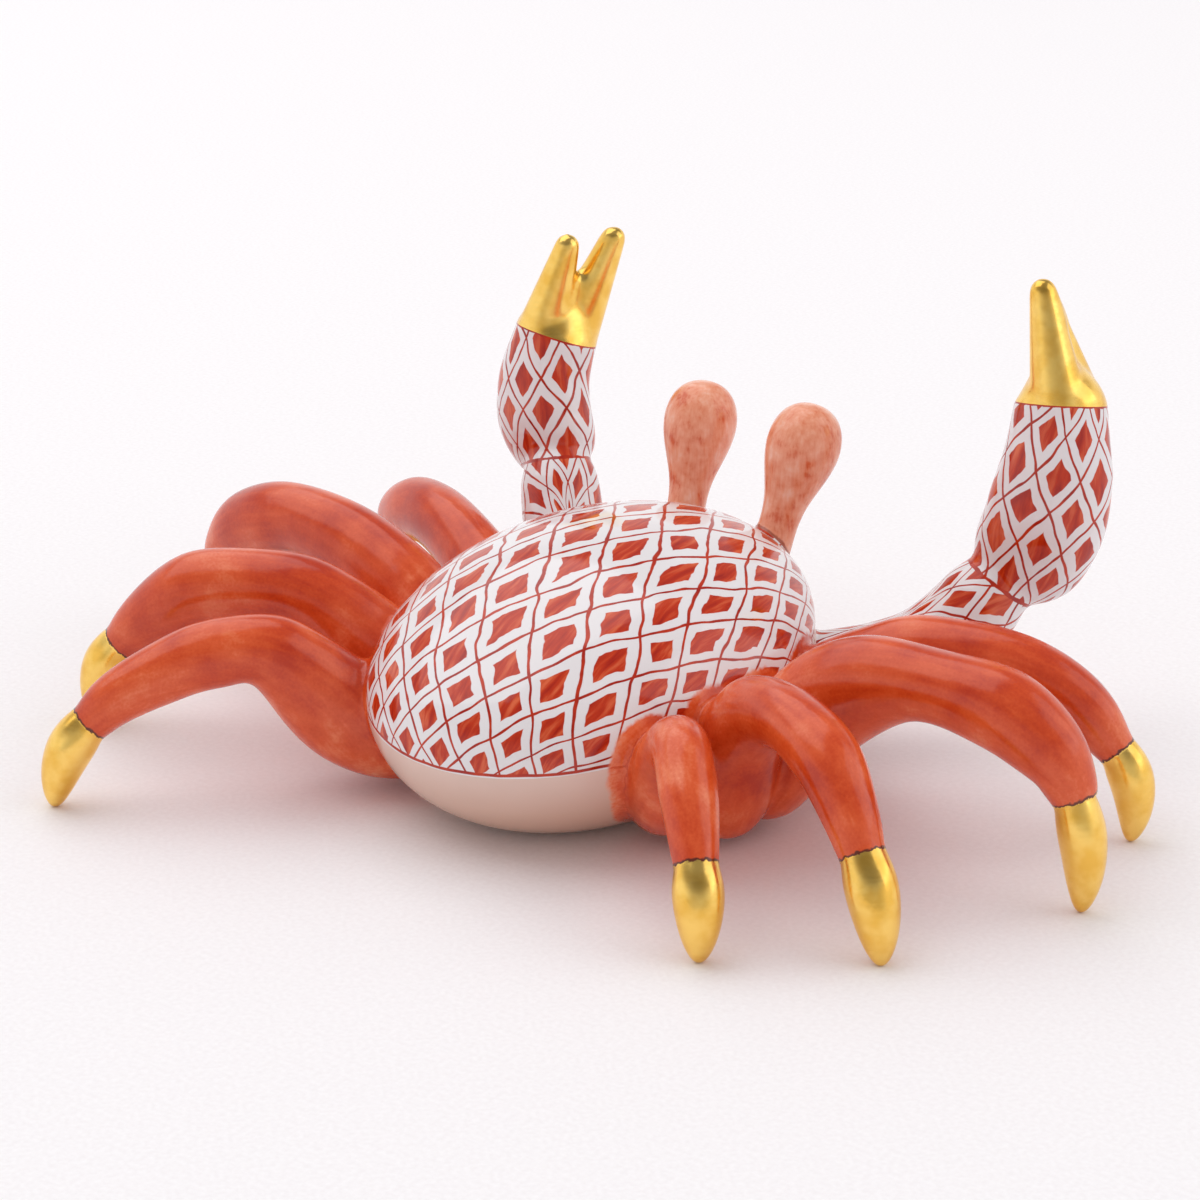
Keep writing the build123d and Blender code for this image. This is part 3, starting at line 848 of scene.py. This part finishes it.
for side, sign in sides.items():
    shoulder, elbow = [Vector((*point, 0)) for point in limb_lines[side]["forearm"]]
    lean = elbow_leans[side]
    elbow_normal = (elbow - shoulder).normalized() * lean + Vector((0, 0, math.sqrt(1 - lean**2)))
    elbow_plane = (Vector(elbows[side]) * mm, elbow_normal)
    gilding = gilding_line(cad["pincer_" + side])
    arm = cut_limb("arm_" + side, side, "forearm")

    forearm = clay_copy("painted_forearm_" + side, arm)
    part_off(forearm, *elbow_plane)
    shoulder.z = shoulder_height
    forearm_way = Vector(elbows[side]) - shoulder
    glaze = arm_glaze("forearm_glaze_" + side, shoulder, forearm_way, forearm_net, elbow_plane)
    finish_piece(forearm, "forearm_" + side, glaze)

    part_off(arm, *elbow_plane, "INTERSECT")
    palm = clay_copy("painted_palm_" + side, arm)
    part_off(palm, gilding[0], -gilding[1])
    heel = Vector(heels[side])
    palm_way = (Vector(wrists[side]) - heel).normalized()
    palm_foot = heel + Vector((sign * palm_bulge_out, palm_bulge_front, 0))
    glaze = arm_glaze("palm_glaze_" + side, palm_foot, palm_way, palm_net, gilding, elbow_plane)
    finish_piece(palm, "palm_" + side, glaze)

    part_off(arm, gilding[0], -gilding[1], "INTERSECT")
    arm.name = "gilded_pincer_" + side
    finish_piece(arm, "pincer_" + side, gold.material)
    bpy.data.objects.remove(halves[side])
bpy.data.objects.remove(clay)

# The table: a plain white paper top with a faint grain and hardly any gloss, which carries
# the crab's foot and its eight toes.
table_size = 5
paper_tones = ((0.3, paint(242, 238, 240)), (0.7, paint(248, 245, 247)))
paper_grain_size = 0.5
paper_roughness = 0.7
paper_gloss = 0.2
paper = Recipe("paper", paper_roughness)
paper.lay_on("Base Color", paper.tones(paper.mottle(paper_grain_size, detail=3), *paper_tones))
paper.lay_on("Specular IOR Level", paper_gloss)
bpy.ops.object.select_all(action="DESELECT")
bpy.ops.mesh.primitive_plane_add(size=table_size)
table = bpy.context.object
table.name = "table_top"
table.data.materials.append(paper.material)
table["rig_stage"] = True

# The camera stands behind the crab and to its right, a little above it, and has a long lens.
# Its place is given from the middle of the view.
target = Vector((5, -8, 15)) * mm
camera_distance = 340 * mm
camera_way = Vector((-0.547, 0.753, 0.366))
lens_length = 100
film_width = 36
nearest_seen = 10 * mm
bpy.ops.object.camera_add(location=target + camera_way * camera_distance)
camera = bpy.context.object
camera.rotation_euler = (-camera_way).to_track_quat("-Z", "Y").to_euler()
camera.data.lens = lens_length
camera.data.sensor_width = film_width
camera.data.clip_start = nearest_seen
bpy.context.scene.camera = camera

# The lamps: a large soft box high up on the crab's left, and a small, weak one on its right.
# Place, width and height are in metres, the power is in watts.
soft_boxes = {
    "soft_box_over": ((0.55, -0.05, 0.95), 1.4, 1.1, 6.0),
    "soft_box_side": ((-0.75, -0.45, 0.65), 0.9, 0.8, 2.1),
}
for name, (place, width, height, power) in soft_boxes.items():
    bpy.ops.object.light_add(type="AREA", location=place)
    lamp = bpy.context.object
    lamp.name = name
    lamp.rotation_euler = (target - lamp.location).to_track_quat("-Z", "Y").to_euler()
    lamp.data.shape = "RECTANGLE"
    lamp.data.size = width
    lamp.data.size_y = height
    lamp.data.energy = power

# The room: pale all round, it fills the shadows. In gloss it shows a little darker behind the
# camera, and darker still at the ceiling, as a real room does.
room_fill = 0.69
behind_light = 0.6
behind_edges = (0.45, 0.95)
ceiling_light = 0.3
ceiling_edges = (0.25, 0.6)
world = bpy.data.worlds.new("pale_room")
bpy.context.scene.world = world
world.use_nodes = True
room = Steps(world.node_tree)
backdrop = room.tree.nodes["Background"]
way = room.add("ShaderNodeTexCoord", output="Generated")
level_way = tuple(Vector((camera_way.x, camera_way.y, 0)).normalized())
towards_camera = room.vector("DOT_PRODUCT", way, level_way, output=1)
behind = room.ramp(towards_camera, *behind_edges, 1, behind_light)
ceiling = room.ramp(room.split(way)[2], *ceiling_edges, 1, ceiling_light)
mirrored = room.calc("MULTIPLY", behind, ceiling)
rays = room.add("ShaderNodeLightPath").node
in_gloss = room.calc("MAXIMUM", rays.outputs["Is Glossy Ray"], rays.outputs["Is Transmission Ray"])
light = room.add("ShaderNodeMix", {0: in_gloss, 2: room_fill, 3: mirrored}, data_type="FLOAT")
light = room.add("ShaderNodeMix", {0: rays.outputs["Is Camera Ray"], 2: light, 3: 1.0}, data_type="FLOAT")
room.feed(light, backdrop.inputs["Strength"])
room.feed((1, 1, 1, 1), backdrop.inputs["Color"])
bpy.context.scene.view_settings.view_transform = "Standard"

low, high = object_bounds()
